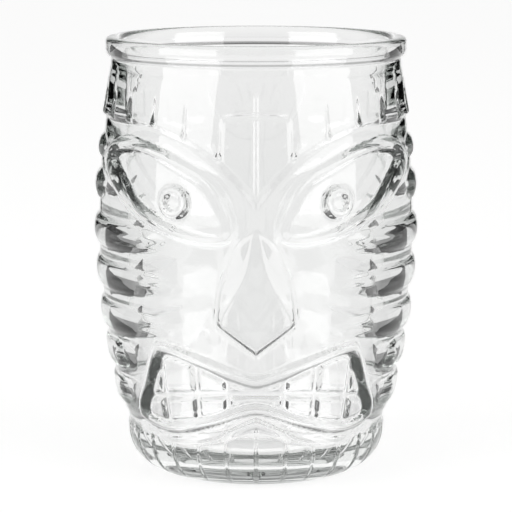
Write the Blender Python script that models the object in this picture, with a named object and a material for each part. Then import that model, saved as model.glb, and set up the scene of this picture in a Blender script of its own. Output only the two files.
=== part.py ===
"""Pressed-glass tiki tumbler, one fused piece of clear glass.

A turned barrel with a rolled rim and a heavy base. Its outer wall carries a
moulded mask on the front (-Y), stacked ribs on both sides, a fringe band
under the rim and a beard band round the heel. The back panel is plain.
The axis is Z, the foot stands on Z = 0, and +X is the mask's left cheek.
"""

import math

import bmesh
import bpy
import numpy as np

MM = 0.001

# Driving dimensions, in millimetres
HEIGHT = 123.0
RIM_RADIUS = 42.2
BEAD_FOOT = 117.0  # where the rolled rim meets the neck
RIM_CORNER = 1.3  # of the rim's outer top corner
MOUTH_CORNER = 2.0  # of its inner one
BEAD_UNDERSIDE = ((1.35, 5.4), (0.1, 4.3))  # each in from the rim and down from the top
FOOT_RADIUS = 23.5
HEEL_RADIUS = 12.5  # of the arc from the foot up to the wall
PUSH_UP = 1.2  # hollow under the foot, so that it stands on a ring
PUSH_UP_RADIUS = 18.0
FLOOR = 6.5  # thickness of the base
MOUTH_RADIUS = 37.7  # inner wall just under the rim
WELL_RADIUS = 35.2  # inner wall just above its bottom round
WELL_ROUND = 10.0
WALL = ((12.5, 36.0), (16, 36.3), (20, 38.0), (30, 40.1), (46, 42.7), (69, 44.3),  # height, radius
        (89, 43.5), (101.5, 42.0), (117, 40.6))

# Resolution of the turned body, and the share of its triangles that the decimation keeps
COLUMNS = 200
WALL_ROWS = 118
FRONT_CROWDING = 0.35  # 0 spaces the columns evenly, more draws them to the face
KEPT_SHARE = 0.20
SHARP_ANGLE = 50.0  # degrees

# The relief is laid out on the unrolled wall: s is the distance from the middle of the face,
# 0.761 mm for each degree, and both halves of the face share one set of outlines.
MM_PER_DEGREE = 0.761

# Where a value changes along s or with the height, it is given as knots (place, value).
FRINGE_TOP = 114.6
FRINGE_PROUD = ((0, 0.6), (12, 0.8), (30, 1.1), (80, 1.1), (98, 0.35))
FRINGE_SOFTNESS = ((0, 5.5), (10, 5.0), (20, 3.4), (34, 2.0), (60, 1.7), (75, 1.7), (92, 4.5))
FRINGE_EDGE = ((0, 81.7), (9.6, 92.3), (16.2, 96.3), (20.5, 98.3), (30, 100.9), (38, 101.9), (137, 101.9))
PANEL_HALF, PANEL_TOP, PANEL_PROUD = 9.3, 104.4, 0.5
PANEL_DROOP = 0.008  # of its arched top, by the square of s

EYE_OUTER = ((4.6, 74.4), (9.4, 86.3), (18.8, 91.8), (32.4, 96.3), (46.4, 96.4), (54.6, 91.4),
             (47.1, 82.9), (34.6, 75.6), (22.5, 70.9), (9.0, 69.8))
EYE_INNER = ((8.5, 74.4), (14.1, 84.0), (20.8, 88.5), (32.0, 93.1), (41.5, 93.1), (46.6, 91.2),
             (39.7, 84.8), (32.8, 79.0), (22.0, 74.3), (11.2, 72.3))
EYE_PROUD = ((4.6, 0.6), (20, 0.85), (34, 1.8))
PUPIL = (22.9, 81.0)
PUPIL_RADIUS, PUPIL_DIMPLE, PUPIL_PROUD = 5.1, 2.9, 1.3
PUPIL_SLOPE, DIMPLE_SHARE = 1.4, 0.6  # width of its sloping sides, depth of the dimple as a share

NOSE_PROUD, NOSE_TOP, NOSE_LENGTHENING = 2.3, 74.0, 17.0  # the last: height over which it rises
NOSE_WING = ((41, 12.0), (49, 11.0), (57.5, 9.7), (63.5, 7.8), (70, 5.0), (74, 0.3))
NOSE_KITE = ((41, 10.2), (50, 9.0), (57, 5.4), (62.6, 2.6), (74, 0.1))
NOSE_TIP, NOSE_CORNER, NOSE_BEVEL = 39.4, 47.0, 2.2
NOSE_SIDE, NOSE_SIDE_SHARE = 0.9, 0.25  # steep foot of each wing: width, share of the height

MOUTH_OUTER = ((0, 33.9), (6.4, 35.8), (15.8, 39.1), (28.8, 42.2), (32.4, 39.6), (36.4, 32.0),
               (41.6, 24.0), (42.0, 18.6), (34.4, 15.8), (24.0, 16.2), (12.0, 19.6), (0, 22.8))
MOUTH_INNER = ((0, 30.7), (8.0, 32.8), (16.0, 35.9), (27.6, 38.8), (31.7, 33.7), (35.8, 26.4),
               (38.4, 20.8), (31.0, 18.8), (22.9, 19.5), (13.5, 21.6), (0, 25.7))
MOUTH_PROUD = 1.6
MOUTH_SUNK = 0.5
TOOTH_EDGES = (8.4, 18.1, 29.7)
TOOTH_GAP, TOOTH_PROUD = 1.3, 1.0
BITE_HEIGHT, BITE_DROOP = 28.8, 0.0024

BEARD_EDGE = ((0, 18.6), (10.7, 14.4), (20, 12.6), (28, 12.1), (38, 13.9), (50, 13.8), (137, 13.8))
BEARD_PROUD = 0.5
LIP_WIDTH, LIP_PROUD = 3.2, 0.9
LIP_END, LIP_FADE = 48.0, 8.0  # along s

RIB_BACK_END = ((30, 148), (64, 148), (76, 112), (95, 106))  # height, degrees
RIB_BACK_RISE = ((30, 30), (64, 30), (76, 18), (95, 14))  # height, degrees over which the end rises
RIB_SLIM_END = 0.6  # width of a rib's end as a share of its full width
RIBS = (  # height, half its width, how proud, degrees at which it starts, degrees over which it rises
    (92.9, 3.0, 1.2, 74.0, 8.0),
    (82.2, 4.0, 1.45, 72.0, 8.0),
    (69.6, 4.2, 1.45, 34.0, 30.0),
    (57.7, 4.2, 1.35, 32.0, 32.0),
    (45.8, 4.2, 1.35, 35.0, 29.0),
    (35.3, 4.3, 1.3, 54.0, 14.0),
    (24.5, 4.3, 1.15, 60.0, 12.0),
)


def ease(t):
    """0 below 0, 1 above 1, and a smooth rise between."""
    t = np.clip(t, 0.0, 1.0)
    return t * t * (3.0 - 2.0 * t)


def through(knots, x):
    """The smooth curve through knots (x, value), read at x, flat past its ends."""
    kx, ky = (np.array(column, float) for column in zip(*knots))
    x = np.clip(x, kx[0], kx[-1])
    steps = np.diff(ky) / np.diff(kx)
    slope = np.zeros_like(ky)
    same_way = steps[:-1] * steps[1:] > 0
    mean = 2.0 * steps[:-1] * steps[1:] / np.where(same_way, steps[:-1] + steps[1:], 1.0)
    slope[1:-1] = np.where(same_way, mean, 0.0)
    slope[0], slope[-1] = steps[0], steps[-1]
    i = np.clip(np.searchsorted(kx, x) - 1, 0, len(kx) - 2)
    span = kx[i + 1] - kx[i]
    t = (x - kx[i]) / span
    rise = (3.0 - 2.0 * t) * t * t
    return (ky[i] * (1.0 - rise) + ky[i + 1] * rise
            + span * t * (1.0 - t) * (slope[i] * (1.0 - t) - slope[i + 1] * t))


def rounded(points, steps=5):
    """A smooth closed outline through the given points, as an array of points."""
    p = np.array(points, float)
    before, after, beyond = np.roll(p, 1, 0), np.roll(p, -1, 0), np.roll(p, -2, 0)
    t = (np.arange(steps) / steps)[:, None, None]
    curve = (p + 0.5 * t * (after - before)
             + t * t * (before - 2.5 * p + 2.0 * after - 0.5 * beyond)
             + t ** 3 * (1.5 * p - 0.5 * before - 1.5 * after + 0.5 * beyond))
    return curve.transpose(1, 0, 2).reshape(-1, 2)


def mirrored(points):
    """A closed outline from its right half, which starts and ends on the middle line."""
    return list(points) + [(-s, z) for s, z in reversed(points[1:-1])]


def inside(outline, s, z):
    """Signed distance to a closed outline, above 0 inside it."""
    near = np.full(s.shape, 1e9)
    crossings = np.zeros(s.shape, int)
    for (s0, z0), (s1, z1) in zip(outline, np.roll(outline, -1, 0)):
        ds, dz = s1 - s0, z1 - z0
        t = np.clip(((s - s0) * ds + (z - z0) * dz) / (ds * ds + dz * dz + 1e-12), 0.0, 1.0)
        near = np.minimum(near, np.hypot(s - s0 - t * ds, z - z0 - t * dz))
        spans = (z0 > z) != (z1 > z)
        at = s0 + (z - z0) * ds / (dz if dz else 1e-12)
        crossings += spans & (s < at)
    return np.where(crossings % 2 == 1, near, -near)


def half_round(across):
    """0 at across = -1 and 1, with a round top between."""
    return np.sqrt(np.clip(1.0 - across ** 2, 0.0, 1.0))


def roll_between(outer, inner):
    """A half-round roll that fills the band between two outlines."""
    from_outer = np.clip(outer, 0.0, None)
    from_inner = np.clip(-inner, 0.0, None)
    across = from_outer / (from_outer + from_inner + 1e-9)
    return half_round(2.0 * across - 1.0) * (outer > 0)


def fringe_and_panel(s, z):
    """The band under the rim, whose lower edge dips to the brow, and the plate down its middle."""
    edge = through(FRINGE_EDGE, s)
    swell = np.clip((FRINGE_TOP - z) / (FRINGE_TOP - edge), 0.0, 1.0)
    above_edge = ease((z - edge) / through(FRINGE_SOFTNESS, s) + 0.7)
    top = PANEL_TOP - PANEL_DROOP * s * s
    plate = ease((PANEL_HALF + 0.9 - s) / 1.8) * ease(top - z)
    return (through(FRINGE_PROUD, s) * swell + PANEL_PROUD * plate) * above_edge


def eye(s, z):
    """The slanted eye ring with its round pupil."""
    ring = roll_between(inside(rounded(EYE_OUTER), s, z), inside(rounded(EYE_INNER), s, z))
    from_middle = np.hypot(s - PUPIL[0], z - PUPIL[1])
    dimple = ease((PUPIL_DIMPLE - from_middle) / PUPIL_SLOPE)
    pupil = ease((PUPIL_RADIUS - from_middle) / PUPIL_SLOPE) - DIMPLE_SHARE * dimple
    return through(EYE_PROUD, s) * ring + PUPIL_PROUD * pupil


def nose(s, z):
    """A long flat kite between two sloping wings, cut off by a V below."""
    wing = through(NOSE_WING, z)
    kite = through(NOSE_KITE, z)
    proud = NOSE_PROUD * np.clip((NOSE_TOP - z) / NOSE_LENGTHENING, 0.0, 1.0)
    slant = np.clip((wing - s) / np.maximum(wing - kite, 0.5), 0.0, 1.0)
    side = NOSE_SIDE_SHARE * ease((wing - s) / NOSE_SIDE) + (1.0 - NOSE_SIDE_SHARE) * slant
    cut = NOSE_TIP + (NOSE_CORNER - NOSE_TIP) * s / 10.0
    rise = np.clip((z - cut) / NOSE_BEVEL, 0.0, 1.0)
    return proud * side * half_round(1.0 - rise) * (z < NOSE_TOP)


def mouth(s, z):
    """The bow-shaped mouth: a lip roll round two rows of teeth."""
    outer = inside(rounded(mirrored(MOUTH_OUTER)), s, z)
    inner = inside(rounded(mirrored(MOUTH_INNER)), s, z)
    lips = MOUTH_PROUD * roll_between(outer, inner)
    bite = BITE_HEIGHT - BITE_DROOP * s * s
    from_gap = np.abs(z - bite)
    for edge in TOOTH_EDGES:
        from_gap = np.minimum(from_gap, np.abs(s - edge))
    tooth = ease((from_gap - 0.3 * TOOTH_GAP) / TOOTH_GAP) * ease((inner - 0.4) / 1.2)
    return lips + ease(inner / 0.8) * (TOOTH_PROUD * tooth - MOUTH_SUNK)


def ribs(s, z):
    """Seven stacked ribs round each side, which rise slowly out of the cheek and sink into the back."""
    total = np.zeros(s.shape)
    degrees = s / MM_PER_DEGREE
    for middle, half, proud, start, rise in RIBS:
        from_back = (through(RIB_BACK_END, middle) - degrees) / through(RIB_BACK_RISE, middle)
        grown = ease((degrees - start) / rise) * ease(from_back)
        width = half * (RIB_SLIM_END + (1.0 - RIB_SLIM_END) * grown)
        total = np.maximum(total, proud * grown * half_round((z - middle) / width))
    return total


def beard_and_lip(s, z):
    """The band round the heel, with a soft lower lip above its front."""
    edge = through(BEARD_EDGE, s)
    band = BEARD_PROUD * ease((edge - z + 0.4) / 0.8) * ease(z / 4.0)
    lip = LIP_PROUD * half_round((z - edge - LIP_WIDTH / 2) / (LIP_WIDTH / 2))
    return band + lip * ease((LIP_END - s) / LIP_FADE)


def relief(degrees, z):
    """How far the moulded outside stands proud of the turned wall, in millimetres."""
    s = np.abs(degrees) * MM_PER_DEGREE
    face = fringe_and_panel(s, z) + eye(s, z) + nose(s, z) + beard_and_lip(s, z) + ribs(s, z)
    lips = inside(rounded(mirrored(MOUTH_OUTER)), s, z)
    return np.where(lips > 0, mouth(s, z), face)


def arc(middle, radius, start, end, steps):
    """Points of an arc in the (radius, height) plane, angles in degrees."""
    turn = np.radians(np.linspace(start, end, steps + 1))
    return [(middle[0] + radius * math.cos(a), middle[1] + radius * math.sin(a)) for a in turn]


def section():
    """The half section in three runs: under the foot, the moulded outside, and the rim and well."""
    under = [(0.0, PUSH_UP), (PUSH_UP_RADIUS * 0.6, PUSH_UP * 0.8), (PUSH_UP_RADIUS, 0.0)]
    heel = arc((FOOT_RADIUS, HEEL_RADIUS), HEEL_RADIUS, -90, 0, 6)
    heights = np.linspace(HEEL_RADIUS, BEAD_FOOT, WALL_ROWS + 1)[1:]
    wall = list(zip(through(WALL, heights), heights))
    underside = [(RIM_RADIUS - step_in, HEIGHT - down) for step_in, down in BEAD_UNDERSIDE]
    rim = arc((RIM_RADIUS - RIM_CORNER, HEIGHT - RIM_CORNER), RIM_CORNER, 0, 90, 2)
    mouth_corner = arc((MOUTH_RADIUS + MOUTH_CORNER, HEIGHT - MOUTH_CORNER), MOUTH_CORNER, 90, 180, 3)
    side_top, side_foot = HEIGHT - MOUTH_CORNER, FLOOR + WELL_ROUND
    side = [(WELL_RADIUS + (MOUTH_RADIUS - WELL_RADIUS) * (z - side_foot) / (side_top - side_foot), z)
            for z in np.linspace(side_top, side_foot, 6)[1:-1]]
    well = arc((WELL_RADIUS - WELL_ROUND, side_foot), WELL_ROUND, 0, -90, 4)
    return under, heel + wall, underside + rim + mouth_corner + side + well + [(0.0, FLOOR)]


def turn(under, outside, rim_and_well):
    """Spin the half section round the Z axis into one closed body, its outside marked on a layer."""
    bm = bmesh.new()
    layer = bm.verts.layers.int.new("outside")
    verts = [bm.verts.new((r * MM, 0.0, z * MM)) for r, z in under + outside + rim_and_well]
    for vert in verts[len(under):len(under) + len(outside)]:
        vert[layer] = 1
    edges = [bm.edges.new(pair) for pair in zip(verts, verts[1:])]
    bmesh.ops.spin(bm, geom=verts + edges, cent=(0, 0, 0), axis=(0, 0, 1), angle=math.tau,
                   steps=COLUMNS, use_merge=True)
    bmesh.ops.remove_doubles(bm, verts=bm.verts, dist=0.00002)
    return bm


def press(bm):
    """Crowd the columns towards the face and push the outer wall out by the relief."""
    layer = bm.verts.layers.int["outside"]
    outer = np.array([vert[layer] for vert in bm.verts], bool)
    co = np.array([vert.co[:] for vert in bm.verts])
    radius = np.hypot(co[:, 0], co[:, 1]) / MM
    height = co[:, 2] / MM
    from_front = np.arctan2(co[:, 0], -co[:, 1])
    from_front = from_front - FRONT_CROWDING * np.sin(from_front)
    radius[outer] += relief(np.degrees(from_front[outer]), height[outer])
    for vert, r, a in zip(bm.verts, radius, from_front):
        vert.co.x = r * MM * math.sin(a)
        vert.co.y = -r * MM * math.cos(a)


def glass_material():
    """Clear soda-lime glass, faintly green in the thick."""
    material = bpy.data.materials.new("clear_soda_lime_glass")
    material.use_nodes = True
    shader = material.node_tree.nodes["Principled BSDF"]
    shader.inputs["Base Color"].default_value = (0.90, 0.95, 0.93, 1.0)
    shader.inputs["Metallic"].default_value = 0.0
    shader.inputs["Roughness"].default_value = 0.03
    shader.inputs["IOR"].default_value = 1.52
    shader.inputs["Transmission Weight"].default_value = 1.0
    return material


def tumbler():
    """The whole tumbler as one object."""
    bm = turn(*section())
    press(bm)
    bmesh.ops.recalc_face_normals(bm, faces=bm.faces)
    mesh = bpy.data.meshes.new("glass_tumbler")
    bm.to_mesh(mesh)
    bm.free()
    mesh.shade_smooth()
    mesh.set_sharp_from_angle(angle=math.radians(SHARP_ANGLE))
    mesh.materials.append(glass_material())
    body = bpy.data.objects.new("glass_tumbler", mesh)
    bpy.context.scene.collection.objects.link(body)
    thin = body.modifiers.new("fewer triangles on the plain walls", "DECIMATE")
    thin.ratio = KEPT_SHARE
    return body


for old in list(bpy.data.objects):
    bpy.data.objects.remove(old, do_unlink=True)
tumbler()
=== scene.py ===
import math

import bmesh
import bpy
import numpy as np
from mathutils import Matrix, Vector


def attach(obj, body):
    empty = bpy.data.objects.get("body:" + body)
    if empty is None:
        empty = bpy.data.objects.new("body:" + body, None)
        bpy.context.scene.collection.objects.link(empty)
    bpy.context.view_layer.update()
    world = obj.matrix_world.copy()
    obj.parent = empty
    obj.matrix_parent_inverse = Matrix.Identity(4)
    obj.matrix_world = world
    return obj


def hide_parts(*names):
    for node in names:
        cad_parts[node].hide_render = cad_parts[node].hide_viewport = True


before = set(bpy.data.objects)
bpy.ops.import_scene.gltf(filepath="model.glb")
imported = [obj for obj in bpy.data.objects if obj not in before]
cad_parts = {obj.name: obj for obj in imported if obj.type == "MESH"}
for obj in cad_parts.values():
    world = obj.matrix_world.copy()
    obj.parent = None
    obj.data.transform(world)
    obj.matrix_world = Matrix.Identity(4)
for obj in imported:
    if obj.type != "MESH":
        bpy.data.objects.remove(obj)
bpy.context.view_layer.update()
print("frame loaded")

mm = 0.001                                  # every length in a piece's values is in millimetres


def ease(t):
    # 0 below 0, 1 above 1 and a soft rise between
    t = np.clip(t, 0.0, 1.0)
    return t * t * (3.0 - 2.0 * t)


def through(knots, x):
    # smooth curve through knots (x, value), flat past its ends
    kx, ky = (np.array(column, float) for column in zip(*knots))
    x = np.clip(x, kx[0], kx[-1])
    steps = np.diff(ky) / np.diff(kx)
    slope = np.zeros_like(ky)
    sameWay = steps[:-1] * steps[1:] > 0
    mean = 2.0 * steps[:-1] * steps[1:] / np.where(sameWay, steps[:-1] + steps[1:], 1.0)
    slope[1:-1] = np.where(sameWay, mean, 0.0)
    slope[0], slope[-1] = steps[0], steps[-1]
    i = np.clip(np.searchsorted(kx, x) - 1, 0, len(kx) - 2)
    span = kx[i + 1] - kx[i]
    t = (x - kx[i]) / span
    rise = (3.0 - 2.0 * t) * t * t
    return (ky[i] * (1.0 - rise) + ky[i + 1] * rise
            + span * t * (1.0 - t) * (slope[i] * (1.0 - t) - slope[i + 1] * t))


def rounded(points, steps=6):
    # smooth closed outline through the points
    p = np.array(points, float)
    before, after, beyond = np.roll(p, 1, 0), np.roll(p, -1, 0), np.roll(p, -2, 0)
    t = (np.arange(steps) / steps)[:, None, None]
    curve = (p + 0.5 * t * (after - before)
             + t * t * (before - 2.5 * p + 2.0 * after - 0.5 * beyond)
             + t ** 3 * (1.5 * p - 0.5 * before - 1.5 * after + 0.5 * beyond))
    return curve.transpose(1, 0, 2).reshape(-1, 2)


def bothHalves(points):
    # closed outline from its right half, which starts and ends on the middle line
    return list(points) + [(-s, z) for s, z in reversed(points[1:-1])]


def inside(outline, allS, allZ, reach=6.0):
    # distance to a closed outline, above 0 inside it; only looked at within reach of the outline
    low, high = outline.min(0) - reach, outline.max(0) + reach
    close = (allS > low[0]) & (allS < high[0]) & (allZ > low[1]) & (allZ < high[1])
    s, z = allS[close], allZ[close]
    near = np.full(s.shape, 1e9)
    crossings = np.zeros(s.shape, int)
    for (s0, z0), (s1, z1) in zip(outline, np.roll(outline, -1, 0)):
        ds, dz = s1 - s0, z1 - z0
        t = np.clip(((s - s0) * ds + (z - z0) * dz) / (ds * ds + dz * dz + 1e-12), 0.0, 1.0)
        near = np.minimum(near, np.hypot(s - s0 - t * ds, z - z0 - t * dz))
        spans = (z0 > z) != (z1 > z)
        crossings += spans & (s < s0 + (z - z0) * ds / (dz if dz else 1e-12))
    found = np.full(allS.shape, -reach)
    found[close] = np.where(crossings % 2 == 1, near, -near)
    return found


def halfRound(across):
    # 0 at across = -1 and 1, and a round top between
    return np.sqrt(np.clip(1.0 - across ** 2, 0.0, 1.0))


def rollBetween(outer, inner, softness=0.5):
    # roll that fills the band between two outlines: half round at 0.5, flatter edges above
    fromOuter = np.clip(outer, 0.0, None)
    fromInner = np.clip(-inner, 0.0, None)
    across = fromOuter / (fromOuter + fromInner + 1e-9)
    return np.clip(4.0 * across * (1.0 - across), 0.0, 1.0) ** softness * (outer > 0)


def linearColour(hexColour):
    # sRGB hex to the linear values that Blender works in
    parts = [int(hexColour[i:i + 2], 16) / 255.0 for i in (1, 3, 5)]
    return tuple(c / 12.92 if c <= 0.04045 else ((c + 0.055) / 1.055) ** 2.4 for c in parts) + (1.0,)


def addNode(tree, kind, settings=None, values=None, links=None):
    # one node with its settings, its socket values and its links from other nodes' outputs
    node = tree.nodes.new(kind)
    for name, value in (settings or {}).items():
        setattr(node, name, value)
    for name, value in (values or {}).items():
        node.inputs[name].default_value = value
    for name, output in (links or {}).items():
        tree.links.new(output, node.inputs[name])
    return node


def newMaterial(name):
    material = bpy.data.materials.new(name)
    material.use_nodes = True
    material.node_tree.nodes.clear()
    return material, material.node_tree


body = {                                    # the turned body
    "height": 123.0, "rimRadius": 42.2, "mouthRadius": 37.7,
    "beadFoot": 117.0,                      # where the rolled rim meets the neck
    "bead": ((1.35, 5.4), (0.55, 5.0), (0.1, 4.3), (0.0, 3.2), (0.0, 1.3)),  # in from the rim, down
    "rimCorner": 1.3, "mouthCorner": 2.0,   # radii of the rim's two upper edges
    "footRadius": 23.5, "heelRadius": 12.5,
    "pushUp": 1.2, "pushUpRadius": 18.0,    # hollow under the foot
    "pushUpShoulder": (0.6, 0.8),           # shares of its radius and height where it turns down
    "floor": 6.5, "wellRadius": 35.2, "wellRound": 10.0,
    "wall": ((12.5, 36.0), (16, 36.3), (20, 38.0), (30, 40.1), (46, 42.7), (69, 44.3), (89, 43.5),
             (101.5, 42.0), (117, 40.6)),   # height, radius
    "columns": 424, "wallRows": 186, "heelRows": 14, "wellRows": 8, "wellRoundRows": 7, "cornerRows": 4,
    "frontCrowding": 0.3,                   # draws the columns towards the face
    "grooveCrowding": 0.5,                  # and towards the cut grooves
    "fringeCrowding": (80.0, 12.0),         # above this height, over this rise
    "beardCrowding": (20.0, 6.0),           # below this height, over this fall
}


def lineTo(bm, last, radius, height):
    # one straight run of the half section
    end = bm.verts.new((radius * mm, 0.0, height * mm))
    bm.edges.new((last, end))
    return end


def arcTo(bm, last, radius, height, degrees, steps):
    # one arc of the half section, about a centre
    arc = bmesh.ops.spin(bm, geom=[last], cent=(radius * mm, 0.0, height * mm), axis=(0, -1, 0),
                         angle=math.radians(degrees), steps=steps)
    return next(part for part in arc["geom_last"] if isinstance(part, bmesh.types.BMVert))


def turnedBody(b):
    # half section from the hollow under the foot, up the outside, over the rim and down the well
    bm = bmesh.new()
    outside = bm.verts.layers.int.new("outside")
    pen = bm.verts.new((0.0, 0.0, b["pushUp"] * mm))
    radiusShare, heightShare = b["pushUpShoulder"]
    pen = lineTo(bm, pen, b["pushUpRadius"] * radiusShare, b["pushUp"] * heightShare)
    pen = lineTo(bm, pen, b["pushUpRadius"], 0.0)
    pen = lineTo(bm, pen, b["footRadius"], 0.0)
    wallFoot = pen = arcTo(bm, pen, b["footRadius"], b["heelRadius"], 90, b["heelRows"])
    wallTop = pen = lineTo(bm, pen, b["wall"][-1][1], b["beadFoot"])
    for vert in bm.verts:
        vert[outside] = int(vert.co.z > b["pushUp"] * mm)
    rim, top = b["rimRadius"], b["height"]
    for inward, down in b["bead"]:
        pen = lineTo(bm, pen, rim - inward, top - down)
    pen = arcTo(bm, pen, rim - b["rimCorner"], top - b["rimCorner"], 90, b["cornerRows"])
    lip = b["mouthRadius"] + b["mouthCorner"]
    pen = lineTo(bm, pen, lip, top)
    sideTop = pen = arcTo(bm, pen, lip, top - b["mouthCorner"], 90, b["cornerRows"])
    roundTop = b["floor"] + b["wellRound"]
    sideFoot = pen = lineTo(bm, pen, b["wellRadius"], roundTop)
    pen = arcTo(bm, pen, b["wellRadius"] - b["wellRound"], roundTop, -90, b["wellRoundRows"])
    lineTo(bm, pen, 0.0, b["floor"])
    side, wall = bm.edges.get((sideTop, sideFoot)), bm.edges.get((wallFoot, wallTop))
    bmesh.ops.subdivide_edges(bm, edges=[side], cuts=b["wellRows"] - 1)
    rows = bmesh.ops.subdivide_edges(bm, edges=[wall], cuts=b["wallRows"] - 1)
    for part in rows["geom_inner"]:
        if isinstance(part, bmesh.types.BMVert):
            part[outside] = 1
    bmesh.ops.remove_doubles(bm, verts=bm.verts, dist=0.00001)
    bmesh.ops.spin(bm, geom=bm.verts[:] + bm.edges[:], cent=(0, 0, 0), axis=(0, 0, 1), angle=math.tau,
                   steps=b["columns"], use_merge=True)
    bmesh.ops.remove_doubles(bm, verts=bm.verts, dist=0.00001)
    return bm


# the moulded relief is laid out on the unrolled wall:
# s is the distance from the middle of the face and z the height; both halves share one outline

relief = {
    "mmPerDegree": 0.761,

    "fringeTop": 114.6,
    "fringeStep": 0.12, "fringeStepSlope": 0.9,  # small ledge where the band begins
    "fringeProud": ((0, 0.6), (12, 0.8), (30, 1.1), (80, 1.1), (98, 0.35)),
    "fringeSoftness": ((0, 5.5), (10, 5.0), (20, 3.4), (34, 2.0), (60, 1.7), (75, 1.7), (92, 4.5)),
    "fringeEdge": ((0, 81.7), (9.6, 92.3), (16.2, 96.3), (20.5, 98.3), (30, 100.9), (38, 101.9),
                   (137, 101.9)),
    "fringeGrooves": 27, "fringeGrooveTop": 109.5, "fringeGrooveFoot": 0.8,  # the last: above the edge
    "fringeGrooveWidth": ((10, 1.3), (20, 1.3), (30, 1.6), (40, 2.4)),
    "fringeGrooveDepth": ((10, 0.4), (20, 0.4), (30, 0.55), (40, 0.9)),
    "fringeGrooveStart": 0.3,               # share of the depth at a groove's upper end
    "fringeLastGroove": 108.0,              # degrees; the back has none
    "fringeDot": 1.1, "fringeDotDeeper": 0.3,  # drilled end of each groove: radius, extra depth

    "panelHalf": 9.3, "panelTop": 104.4, "panelDroop": 0.008, "panelProud": 0.5, "panelSlope": 1.8,
    "panelLine": 1.1, "panelLineWidth": 1.3,
    "panelGrooveTop": 2.0,                  # below the panel's top
    "browLine": (83.0, 109.5, 1.9, 0.3),    # lower end, upper end, width, depth

    "eyeOuter": ((4.6, 74.4), (9.4, 86.3), (18.8, 91.8), (32.4, 96.3), (46.4, 96.4), (54.6, 91.4),
                 (47.1, 82.9), (34.6, 75.6), (22.5, 70.9), (9.0, 69.8)),
    "eyeInner": ((8.5, 74.4), (14.1, 84.0), (20.8, 88.5), (32.0, 93.1), (41.5, 93.1), (46.6, 91.2),
                 (39.7, 84.8), (32.8, 79.0), (22.0, 74.3), (11.2, 72.3)),
    "eyeProud": ((4.6, 0.6), (20, 0.85), (34, 1.8)), "eyeSoftness": ((4.6, 1.5), (20, 1.0), (34, 0.45)),
    "pupil": (22.9, 81.0), "pupilRadius": 5.1, "pupilProud": 1.3, "pupilSlope": 1.4,
    "pupilDimple": 2.9, "dimpleShare": 0.6,

    "noseProud": 2.3, "noseTop": 74.0,
    "noseRise": 17.0, "noseSwell": 0.7,     # height over which it comes up to full, and how fast
    "noseTip": 39.4, "noseCorner": 47.0, "noseCornerAside": 10.0, "noseBevel": 2.0,
    "noseSide": 0.9, "noseSideShare": 0.25,  # steep foot of the wings
    "noseSlit": 0.9, "kiteLine": 0.12, "wingLine": 0.45, "noseLineWidth": 1.8,
    "noseWing": ((41, 12.0), (49, 11.0), (57.5, 9.7), (63.5, 7.8), (70, 5.0), (74, 0.3)),
    "noseKite": ((41, 10.2), (50, 9.0), (57, 5.4), (62.6, 2.6), (74, 0.1)),

    "mouthOuter": ((0, 33.9), (6.4, 35.8), (15.8, 39.1), (28.8, 42.2), (32.4, 39.6), (36.4, 32.0),
                   (41.6, 24.0), (42.0, 18.6), (34.4, 15.8), (24.0, 16.2), (12.0, 19.6), (0, 22.8)),
    "mouthInner": ((0, 30.7), (8.0, 32.8), (16.0, 35.9), (27.6, 38.8), (31.7, 33.7), (35.8, 26.4),
                   (38.4, 20.8), (31.0, 18.8), (22.9, 19.5), (13.5, 21.6), (0, 25.7)),
    "mouthProud": 1.6, "mouthSunk": 0.5, "mouthSlope": 0.8,
    "toothEdges": (8.4, 18.1, 29.7), "toothGap": 1.3, "toothProud": 1.0, "toothSlope": 1.2,
    "bite": 28.8, "biteDroop": 0.0024,

    "beardEdge": ((0, 18.6), (10.7, 14.4), (20, 12.6), (28, 12.1), (38, 13.9), (50, 13.8), (137, 13.8)),
    "beardProud": 0.5, "beardSlope": 0.8, "beardFootFade": 4.0,
    "beardGrooves": 28, "beardGrooveFoot": 3.0, "beardGrooveTop": 0.6,  # the last: below the edge
    "beardGrooveWidth": 1.5, "beardGrooveDepth": 0.7,
    "lipWidth": 3.2, "lipProud": 0.9, "lipEnd": 48.0, "lipFade": 8.0,

    # ribs: height, half width, proud, first degree, degrees of rise
    "ribs": ((92.9, 3.0, 1.2, 74.0, 8.0), (82.2, 4.0, 1.45, 72.0, 8.0), (69.6, 4.2, 1.45, 34.0, 30.0),
             (57.7, 4.2, 1.35, 32.0, 32.0), (45.8, 4.2, 1.35, 35.0, 29.0), (35.3, 4.3, 1.3, 54.0, 14.0),
             (24.5, 4.3, 1.15, 60.0, 12.0)),
    "ribBackEnd": ((30, 148), (64, 148), (76, 112), (95, 106)),  # height, degrees
    "ribBackFade": ((30, 30), (64, 30), (76, 18), (95, 14)),
    "ribStep": 0.08, "ribSlimEnd": 0.6,     # shares of a rib's proud and width at its ends
    "ribWobble": 0.9, "ribWobbleTurn": 1.9,  # degrees that the ends waver by, radians for each mm of height
}


def groove(across, halfWidth):
    # round-bottomed cut, 1 in its middle
    return np.cos(np.clip(across / halfWidth, -1.0, 1.0) * math.pi / 2) ** 1.5


def nearestGroove(degrees, count):
    # distance along the wall from the nearest of count even grooves
    pitch = 360.0 / count
    return np.abs(degrees - pitch * np.round(degrees / pitch)) * relief["mmPerDegree"]


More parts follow.
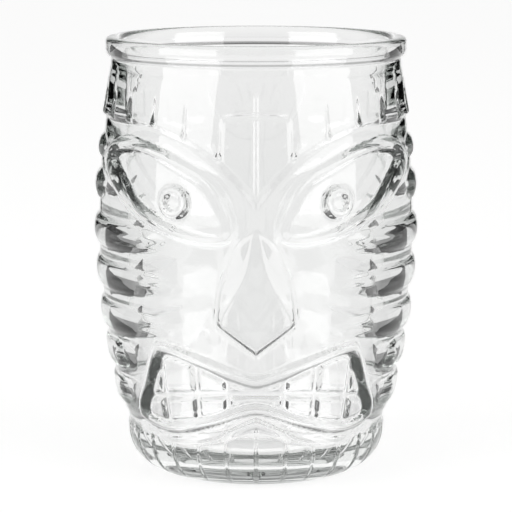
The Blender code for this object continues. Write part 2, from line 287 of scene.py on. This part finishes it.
def fringe(degrees, s, z):
    # band under the rim that dips to the brow, the plate down its middle, and its cut grooves
    r = relief
    edge = through(r["fringeEdge"], s)
    softness = through(r["fringeSoftness"], s)
    swell = np.clip((r["fringeTop"] - z) / (r["fringeTop"] - edge), 0.0, 1.0)
    step = r["fringeStep"] * ease((r["fringeTop"] - z) / r["fringeStepSlope"])
    aboveEdge = ease((z - edge) / softness + 0.7)
    top = r["panelTop"] - r["panelDroop"] * s * s
    plate = ease((r["panelHalf"] + r["panelSlope"] / 2 - s) / r["panelSlope"]) * ease((top - z) / 0.6)
    band = (through(r["fringeProud"], s) * swell + step + r["panelProud"] * plate) * aboveEdge
    pitch = 360.0 / r["fringeGrooves"]
    which = np.round(degrees / pitch)
    atGroove = np.abs(which) * pitch * r["mmPerDegree"]
    foot = through(r["fringeEdge"], atGroove) + r["fringeGrooveFoot"]
    grooveTop = np.where(np.abs(which) == 1, r["panelTop"] - r["panelGrooveTop"], r["fringeGrooveTop"])
    past = z - np.clip(z, foot, grooveTop)
    aside = (degrees / pitch - which) * pitch * r["mmPerDegree"]
    away = np.hypot(aside, past)
    down = np.clip((grooveTop - z) / (grooveTop - foot), 0.0, 1.0)
    here = (which != 0) & (np.abs(which) * pitch < r["fringeLastGroove"])
    width, depth = through(r["fringeGrooveWidth"], atGroove), through(r["fringeGrooveDepth"], atGroove)
    start = r["fringeGrooveStart"]
    cut = depth * ease(3.0 * down) * (start + (1.0 - start) * down) * groove(away, width / 2) * here
    dot = ease((r["fringeDot"] - np.hypot(aside, z - foot)) / 0.6) * here
    band -= np.maximum(cut, (depth + r["fringeDotDeeper"]) * dot)
    band -= r["panelLine"] * groove(z - top, r["panelLineWidth"] / 2) * ease(r["panelHalf"] - s)
    low, high, browWidth, browDepth = r["browLine"]
    fromBrow = np.hypot(s, z - np.clip(z, low, high))
    return band - browDepth * groove(fromBrow, browWidth / 2)


def eye(s, z):
    # slanted ring that fills the space between two outlines, and a pupil with a dimple
    r = relief
    outer, inner = inside(rounded(r["eyeOuter"]), s, z), inside(rounded(r["eyeInner"]), s, z)
    ring = through(r["eyeProud"], s) * rollBetween(outer, inner, through(r["eyeSoftness"], s))
    away = np.hypot(s - r["pupil"][0], z - r["pupil"][1])
    button = ease((r["pupilRadius"] - away) / r["pupilSlope"])
    dimple = ease((r["pupilDimple"] - away) / r["pupilSlope"])
    return ring + r["pupilProud"] * (button - r["dimpleShare"] * dimple)


def nose(s, z):
    # long flat kite between two sloping wings, both with thin edge lines, cut off by a slit V below
    r = relief
    wing = through(r["noseWing"], z)
    kite = through(r["noseKite"], z)
    proud = r["noseProud"] * np.clip((r["noseTop"] - z) / r["noseRise"], 0.0, 1.0) ** r["noseSwell"]
    slant = np.clip((wing - s) / np.maximum(wing - kite, 0.5), 0.0, 1.0)
    share = r["noseSideShare"]
    side = share * ease((wing - s) / r["noseSide"]) + (1.0 - share) * slant
    cut = r["noseTip"] + (r["noseCorner"] - r["noseTip"]) * s / r["noseCornerAside"]
    rise = np.clip((z - cut) / r["noseBevel"], 0.0, 1.0)
    half = r["noseLineWidth"] / 2
    lines = r["kiteLine"] * groove(s - kite, half) - r["wingLine"] * groove(s - wing - 0.3, half)
    lines *= ease((z - cut) / 0.8) * ease((r["noseTop"] - z) / 3.0)
    lines -= r["noseSlit"] * groove(z - cut + 0.1, half) * ease((wing - s) / 0.8)
    return (proud * side * rise + lines) * (z < r["noseTop"])


def mouth(s, z, outer):
    # bow-shaped lip roll round two rows of teeth
    r = relief
    inner = inside(rounded(bothHalves(r["mouthInner"])), s, z)
    fromGap = np.abs(z - r["bite"] + r["biteDroop"] * s * s)
    for edge in r["toothEdges"]:
        fromGap = np.minimum(fromGap, np.abs(s - edge))
    fromLip = ease((inner - 0.4) / r["toothSlope"])
    tooth = ease((fromGap - 0.3 * r["toothGap"]) / r["toothGap"]) * fromLip
    return (r["mouthProud"] * rollBetween(outer, inner)
            + ease(inner / r["mouthSlope"]) * (r["toothProud"] * tooth - r["mouthSunk"]))


def ribs(s, z):
    # stacked ribs that rise slowly out of the cheek and end short at the back panel
    r = relief
    step, slim = r["ribStep"], r["ribSlimEnd"]
    degrees = s / r["mmPerDegree"]
    waver = r["ribWobble"] * np.sin(r["ribWobbleTurn"] * z)
    total = np.zeros(s.shape)
    for middle, half, proud, start, rise in r["ribs"]:
        fromFace = degrees - start + waver
        fromBack = through(r["ribBackEnd"], middle) - degrees + waver
        grown = ease(fromFace / rise) * ease(fromBack / through(r["ribBackFade"], middle))
        taper = (1.0 - step) * grown + step * ease(fromFace) * ease(fromBack)
        width = half * (slim + (1.0 - slim) * grown)
        total = np.maximum(total, proud * taper * halfRound((z - middle) / width))
    return total


def beard(degrees, s, z):
    # band round the heel with its cut grooves, and a soft lower lip above its front
    r = relief
    edge = through(r["beardEdge"], s)
    aboveTable = ease(z / r["beardFootFade"])
    band = r["beardProud"] * ease((edge - z + r["beardSlope"] / 2) / r["beardSlope"]) * aboveTable
    past = z - np.clip(z, r["beardGrooveFoot"], edge - r["beardGrooveTop"])
    away = np.hypot(nearestGroove(degrees, r["beardGrooves"]), past)
    band -= r["beardGrooveDepth"] * groove(away, r["beardGrooveWidth"] / 2)
    lip = r["lipProud"] * halfRound((z - edge - r["lipWidth"] / 2) / (r["lipWidth"] / 2))
    return band + lip * ease((r["lipEnd"] - s) / r["lipFade"])


def reliefHeight(degrees, z):
    # how far the whole relief stands off the turned wall; the mouth replaces what lies under it
    s = np.abs(degrees) * relief["mmPerDegree"]
    face = fringe(degrees, s, z) + eye(s, z) + nose(s, z) + beard(degrees, s, z) + ribs(s, z)
    lips = inside(rounded(bothHalves(relief["mouthOuter"])), s, z)
    return np.where(lips > 0, mouth(s, z, lips), face)


def crowdedAngle(angle, z, b):
    # columns sit closer on the face and at the grooves
    angle = angle - b["frontCrowding"] * np.sin(angle)
    upper, lower = relief["fringeGrooves"], relief["beardGrooves"]
    (fringeFoot, fringeRise), (beardTop, beardFall) = b["fringeCrowding"], b["beardCrowding"]
    high, low = ease((z - fringeFoot) / fringeRise), ease((beardTop - z) / beardFall)
    return (angle - b["grooveCrowding"] * high * np.sin(upper * angle) / upper
            - b["grooveCrowding"] * low * np.sin(lower * angle) / lower)


def pressRelief(bm, b):
    # push the outer wall out to its curve and its relief
    layer = bm.verts.layers.int["outside"]
    place = np.array([vert.co[:] for vert in bm.verts]) / mm
    outer = np.array([vert[layer] for vert in bm.verts], bool)
    radius, z = np.hypot(place[:, 0], place[:, 1]), place[:, 2]
    angle = crowdedAngle(np.arctan2(place[:, 0], -place[:, 1]), z, b)
    wall = outer & (z > b["heelRadius"])
    radius[wall] = through(b["wall"], z[wall])
    radius[outer] += reliefHeight(np.degrees(angle[outer]), z[outer])
    for vert, r, a in zip(bm.verts, radius * mm, angle):
        vert.co.x = r * math.sin(a)
        vert.co.y = -r * math.cos(a)


glass = {
    "tint": "#fefefe", "ior": 1.52, "roughness": 0.012,
    "thickTint": "#adb3af", "thickDensity": 13.0,  # grey-green of the depth, and how fast it builds up
    "ripple": 14.0, "rippleDepth": 0.05,    # slow waves that the mould leaves in the skin
    "skin": 3.0, "skinDepth": 0.006,        # fine unevenness
}


def pressedGlass(g):
    # clear soda-lime glass, pressed and fire-polished: the eye gets a bright, slightly rippled skin
    # over a grey-green depth that shows where the glass is thick
    material, tree = newMaterial("clear_pressed_soda_lime_glass")
    coords = addNode(tree, "ShaderNodeTexCoord").outputs["Object"]
    ripple = addNode(tree, "ShaderNodeTexNoise", values={"Scale": 1.0 / (g["ripple"] * mm), "Detail": 1.0},
                     links={"Vector": coords})
    skin = addNode(tree, "ShaderNodeTexNoise", values={"Scale": 1.0 / (g["skin"] * mm), "Detail": 2.0},
                   links={"Vector": coords})
    slow = addNode(tree, "ShaderNodeBump", values={"Strength": 1.0, "Distance": g["rippleDepth"] * mm},
                   links={"Height": ripple.outputs["Fac"]})
    fine = addNode(tree, "ShaderNodeBump", values={"Strength": 1.0, "Distance": g["skinDepth"] * mm},
                   links={"Height": skin.outputs["Fac"], "Normal": slow.outputs["Normal"]})
    haze = addNode(tree, "ShaderNodeMapRange", values={"To Min": 0.0, "To Max": 2.0 * g["roughness"]},
                   links={"Value": ripple.outputs["Fac"]})
    shader = addNode(tree, "ShaderNodeBsdfPrincipled", {"distribution": "MULTI_GGX"},
                     {"Base Color": linearColour(g["tint"]), "IOR": g["ior"], "Transmission Weight": 1.0},
                     {"Normal": fine.outputs["Normal"], "Roughness": haze.outputs["Result"]})
    depth = addNode(tree, "ShaderNodeVolumeAbsorption",
                    values={"Color": linearColour(g["thickTint"]), "Density": g["thickDensity"]})
    addNode(tree, "ShaderNodeOutputMaterial", {"name": "output"}, None,
            {"Surface": shader.outputs["BSDF"], "Volume": depth.outputs["Volume"]})
    return material


def makeTumbler():
    bm = turnedBody(body)
    print("body turned,", len(bm.faces), "faces")
    pressRelief(bm, body)
    print("relief pressed")
    bmesh.ops.recalc_face_normals(bm, faces=bm.faces)
    mesh = bpy.data.meshes.new("tikiTumbler")
    bm.to_mesh(mesh)
    bm.free()
    mesh.shade_smooth()
    mesh.materials.append(pressedGlass(glass))
    tumbler = bpy.data.objects.new("tiki_tumbler", mesh)
    bpy.context.scene.collection.objects.link(tumbler)
    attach(tumbler, "root")
    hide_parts("glass_tumbler")
    mesh.calc_loop_triangles()
    print("tumbler made,", len(mesh.loop_triangles), "triangles")


makeTumbler()


studio = {                                  # metres, degrees and watts
    "floorSize": 8.0, "floorColour": "#9f9f9e", "floorGlow": 0.80,
    "nearGlow": 0.8, "farGlow": 0.74, "glowFrom": 0.03, "glowTo": 0.22,
    "boxAzimuth": 53.0, "boxDistance": 1.3, "boxWidth": 1.15, "boxHeight": 1.0, "boxMiddle": 0.42,
    "boxPower": 11.0,
    "flagAzimuths": (118.0, 155.0), "flagDistance": 0.45, "flagFeet": (0.14, 0.01), "flagHeight": 0.34,
    "flagColour": "#0a0a0a",
    "room": ((0, 0.08), (27, 0.1), (75, 0.5), (100, 0.8), (115, 0.5), (125, 0.3), (148, 0.3), (158, 0.85),
             (168, 0.95), (180, 0.95)),     # azimuth from the camera's side, brightness
    "overhead": 0.38, "overheadFrom": 0.12, "overheadTo": 0.5,  # the last two: sines of the elevation
    "cameraPlace": (0.0, -0.740, 0.17616), "cameraTilt": 81.113, "lens": 185.47, "sensor": 36.0,
}


def stageObject(name, bm, material):
    # a thing of the studio, which is not part of the tumbler
    mesh = bpy.data.meshes.new(name)
    bm.to_mesh(mesh)
    bm.free()
    mesh.materials.append(material)
    thing = bpy.data.objects.new(name, mesh)
    bpy.context.scene.collection.objects.link(thing)
    return thing


def mattMaterial(name, hexColour):
    # matt board or sheet for the studio; its glow is 0 unless something is linked to it
    material, tree = newMaterial(name)
    shader = addNode(tree, "ShaderNodeBsdfPrincipled",
                     values={"Base Color": linearColour(hexColour), "Roughness": 0.9,
                             "Specular IOR Level": 0.2, "Emission Color": linearColour("#ffffff"),
                             "Emission Strength": 0.0})
    addNode(tree, "ShaderNodeOutputMaterial", {"name": "output"}, None, {"Surface": shader.outputs["BSDF"]})
    return material, tree, shader


def makeFloor(s):
    # opal light table: plain white to the camera, and to the glass a little dimmer farther off
    material, tree, shader = mattMaterial("opal_acrylic_light_table", s["floorColour"])
    coords = addNode(tree, "ShaderNodeTexCoord").outputs["Object"]
    away = addNode(tree, "ShaderNodeVectorMath", {"operation": "LENGTH"}, None, {0: coords})
    near = addNode(tree, "ShaderNodeMapRange", {"interpolation_type": "SMOOTHSTEP"},
                   {"From Min": s["glowFrom"], "From Max": s["glowTo"],
                    "To Min": s["nearGlow"], "To Max": s["farGlow"]},
                   {"Value": away.outputs["Value"]})
    ray = addNode(tree, "ShaderNodeLightPath").outputs["Is Camera Ray"]
    glow = addNode(tree, "ShaderNodeMix", {"data_type": "FLOAT"}, {"B": s["floorGlow"]},
                   {"Factor": ray, "A": near.outputs["Result"]})
    tree.links.new(glow.outputs["Result"], shader.inputs["Emission Strength"])
    bm = bmesh.new()
    bmesh.ops.create_grid(bm, x_segments=1, y_segments=1, size=s["floorSize"] / 2)
    stageObject("studio_floor", bm, material)


def fromCamera(azimuth, distance, height):
    # a place round the tumbler, the azimuth counted from the camera's side
    a = math.radians(azimuth)
    return Vector((math.sin(a) * distance, -math.cos(a) * distance, height))


def makeFlags(s):
    # black cards behind the tumbler, which only the glass sees: they draw its dark edges and the dark of its
    # ribs; each card's lower edge slopes down towards the back
    black = mattMaterial("black_foam_board", s["flagColour"])[0]
    for side in (-1, 1):
        bm = bmesh.new()
        ends = [bm.verts.new(fromCamera(side * azimuth, s["flagDistance"], foot))
                for azimuth, foot in zip(s["flagAzimuths"], s["flagFeet"])]
        lowerEdge = bm.edges.new(ends)
        raised = bmesh.ops.extrude_edge_only(bm, edges=[lowerEdge])["geom"]
        bmesh.ops.translate(bm, vec=(0, 0, s["flagHeight"]),
                            verts=[part for part in raised if isinstance(part, bmesh.types.BMVert)])
        card = stageObject("black_flag", bm, black)
        card.visible_camera = False
        card.visible_shadow = False
        card.visible_diffuse = False


def makeSoftboxes(s):
    # one on each side of the camera: their mirror images are the upright white bands
    for side in (-1, 1):
        light = bpy.data.lights.new("softbox", "AREA")
        light.shape = "RECTANGLE"
        light.size, light.size_y = s["boxWidth"], s["boxHeight"]
        light.energy = s["boxPower"]
        box = bpy.data.objects.new("softbox", light)
        box.location = fromCamera(side * s["boxAzimuth"], s["boxDistance"], s["boxMiddle"])
        box.rotation_euler = (math.radians(90), 0.0, math.radians(side * s["boxAzimuth"]))
        box.visible_camera = False
        bpy.context.scene.collection.objects.link(box)


def makeWorld(s):
    # white sweep behind, seen as plain white, with a darker room beside it and on the camera's side
    world = bpy.data.worlds.new("white_studio")
    world.use_nodes = True
    bpy.context.scene.world = world
    tree = world.node_tree
    tree.nodes.clear()
    coords = addNode(tree, "ShaderNodeTexCoord").outputs["Generated"]
    flat = addNode(tree, "ShaderNodeVectorMath", {"operation": "MULTIPLY"},
                   {1: (1.0, 1.0, 0.0)}, {0: coords})
    level = addNode(tree, "ShaderNodeVectorMath", {"operation": "NORMALIZE"},
                    None, {0: flat.outputs["Vector"]})
    along = addNode(tree, "ShaderNodeSeparateXYZ", None, None, {"Vector": level.outputs["Vector"]})
    place = addNode(tree, "ShaderNodeMapRange", None, {"From Min": -1.0, "From Max": 1.0},
                    {"Value": along.outputs["Y"]})
    room = addNode(tree, "ShaderNodeValToRGB", links={"Fac": place.outputs["Result"]})
    stops = room.color_ramp.elements
    for azimuth, _ in s["room"][1:-1]:
        stops.new((1.0 - math.cos(math.radians(azimuth))) / 2)
    for stop, (_, light) in zip(stops, s["room"]):
        stop.color = (light, light, light, 1.0)
    upward = addNode(tree, "ShaderNodeSeparateXYZ", None, None, {"Vector": coords})
    above = addNode(tree, "ShaderNodeMapRange", {"interpolation_type": "SMOOTHSTEP"},
                    {"From Min": s["overheadFrom"], "From Max": s["overheadTo"]},
                    {"Value": upward.outputs["Z"]})
    whole = addNode(tree, "ShaderNodeMix", {"data_type": "FLOAT"}, {"B": s["overhead"]},
                    {"Factor": above.outputs["Result"], "A": room.outputs["Color"]})
    ray = addNode(tree, "ShaderNodeLightPath").outputs["Is Camera Ray"]
    seen = addNode(tree, "ShaderNodeMix", {"data_type": "FLOAT"}, {"B": 1.0},
                   {"Factor": ray, "A": whole.outputs["Result"]})
    sky = addNode(tree, "ShaderNodeBackground", links={"Strength": seen.outputs["Result"]})
    sky.inputs["Color"].default_value = linearColour("#ffffff")
    addNode(tree, "ShaderNodeOutputWorld", None, None, {"Surface": sky.outputs["Background"]})


def makeCamera(s):
    camera = bpy.data.objects.new("camera", bpy.data.cameras.new("camera"))
    camera.data.lens = s["lens"]
    camera.data.sensor_width = s["sensor"]
    camera.data.clip_start = 0.01
    camera.location = s["cameraPlace"]
    camera.rotation_euler = (math.radians(s["cameraTilt"]), 0.0, 0.0)
    bpy.context.scene.collection.objects.link(camera)
    bpy.context.scene.camera = camera


makeFloor(studio)
makeFlags(studio)
makeSoftboxes(studio)
makeWorld(studio)
makeCamera(studio)
scene = bpy.context.scene
scene.view_settings.view_transform = "Standard"
scene.cycles.max_bounces = 32
scene.cycles.transmission_bounces = 32
scene.cycles.glossy_bounces = 16
print("floor, lights and camera ready")
